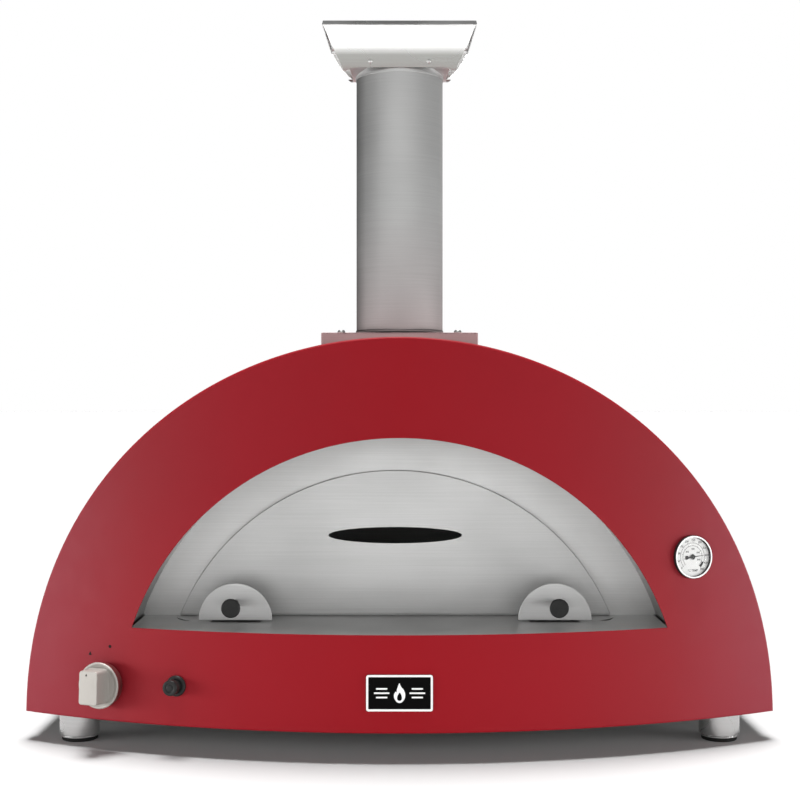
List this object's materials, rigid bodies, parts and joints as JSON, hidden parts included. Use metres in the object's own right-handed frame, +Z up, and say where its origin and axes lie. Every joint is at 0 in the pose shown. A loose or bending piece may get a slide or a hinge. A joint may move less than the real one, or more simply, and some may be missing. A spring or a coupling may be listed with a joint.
{
  "type": "countertop pizza oven",
  "caption": "Gas pizza oven for a worktop: bowed half-disc front, insulated arched chamber on a tile floor, lift-out door, push-and-turn gas control, push igniter, dial gauge and chimney.",
  "frame": {"origin": "middle of the overall width and depth, at the level the feet stand on", "axes": "+X to the right seen from the front, +Y to the back, +Z up; the oven faces -Y"},
  "size_m": [1.124, 0.82, 1.1036],
  "materials": {
    "powder_coat": "red textured powder coat, satin",
    "brushed_steel": "brushed stainless sheet",
    "plain_steel": "plain zinc-coated sheet",
    "satin_nickel": "satin nickel finish",
    "chrome": "polished bezel",
    "black_plastic": "black moulded plastic",
    "rubber": "black rubber",
    "dial_enamel": "white printed dial",
    "clear_glass": "flat clear glass",
    "ceramic_wool": "white ceramic fibre blanket",
    "firebrick": null,
    "brass": "machined brass and copper pipe",
    "ceramic": "glazed ceramic insulator"
  },
  "bodies": {
    "oven": {"front_panel": "powder_coat", "dome_shell": "powder_coat", "rear_panel": "powder_coat", "base_pan": "plain_steel", "floor_tray": "plain_steel", "floor_rail_left": "plain_steel", "floor_rail_right": "plain_steel", "flue_duct": "plain_steel", "box_screw_1": "plain_steel", "box_screw_2": "plain_steel", "box_screw_3": "plain_steel", "box_screw_4": "plain_steel", "mouth_shelf": "brushed_steel", "mouth_lining": "brushed_steel", "facade_plate": "brushed_steel", "chamber_arch": "brushed_steel", "chamber_back": "brushed_steel", "flue_box": "brushed_steel", "flue_pipe": "brushed_steel", "cap_saddle": "brushed_steel", "cap_front_sheet": "brushed_steel", "cap_rear_sheet": "brushed_steel", "cap_roof": "brushed_steel", "gauge_stem": "brushed_steel", "burner_tube": "brushed_steel", "burner_guard": "brushed_steel", "insulation_arch": "ceramic_wool", "insulation_back": "ceramic_wool", "floor_insulation": "ceramic_wool", "floor_tile_left": "firebrick", "floor_tile_right": "firebrick", "foot_front_left": "brushed_steel", "foot_front_right": "brushed_steel", "foot_rear_left": "brushed_steel", "foot_rear_right": "brushed_steel", "flue_gasket": "rubber", "foot_pad_front_left": "rubber", "foot_pad_front_right": "rubber", "foot_pad_rear_left": "rubber", "foot_pad_rear_right": "rubber", "gauge_case": "chrome", "gauge_dial": "dial_enamel", "gauge_glass": "clear_glass", "badge_plate": "black_plastic", "igniter_body": "black_plastic", "gas_valve": "brass", "manifold_pipe": "brass", "supply_pipe": "brass", "gas_inlet": "brass", "spark_electrode": "ceramic"},
    "door": {"door_panel": "brushed_steel", "door_bracket_left": "brushed_steel", "door_bracket_right": "brushed_steel", "door_handle_left": "black_plastic", "door_handle_right": "black_plastic"},
    "valve_stem": {"valve_spindle": "plain_steel"},
    "knob": {"control_knob": "satin_nickel"},
    "igniter": {"igniter_button": "black_plastic"},
    "needle": {"gauge_needle": "black_plastic"}
  },
  "joints": [
    {"name": "door_pull", "type": "slide", "parent": "oven", "child": "door", "axis": [0, -1, 0], "range_m": [0, 0.3]},
    {"name": "valve_push", "type": "slide", "parent": "oven", "child": "valve_stem", "axis": [0.3593, 0.9323, -0.042], "range_m": [0, 0.004], "stiffness_N_per_m": 2500, "springref_m": -0.002},
    {"name": "knob_turn", "type": "hinge", "parent": "valve_stem", "child": "knob", "pos_m": [-0.428, -0.32794, 0.097], "axis": [-0.3593, -0.9323, 0.042], "range_deg": [0, 180]},
    {"name": "igniter_press", "type": "slide", "parent": "oven", "child": "igniter", "axis": [0.2687, 0.9623, -0.0433], "range_m": [0, 0.005], "stiffness_N_per_m": 1200, "springref_m": -0.002},
    {"name": "needle_turn", "type": "hinge", "parent": "oven", "child": "needle", "pos_m": [0.4285, -0.31946, 0.281], "axis": [0.3598, -0.9321, 0.0419], "range_deg": [-50, 220], "stiffness_Nm_per_rad": 0.0005}
  ]
}
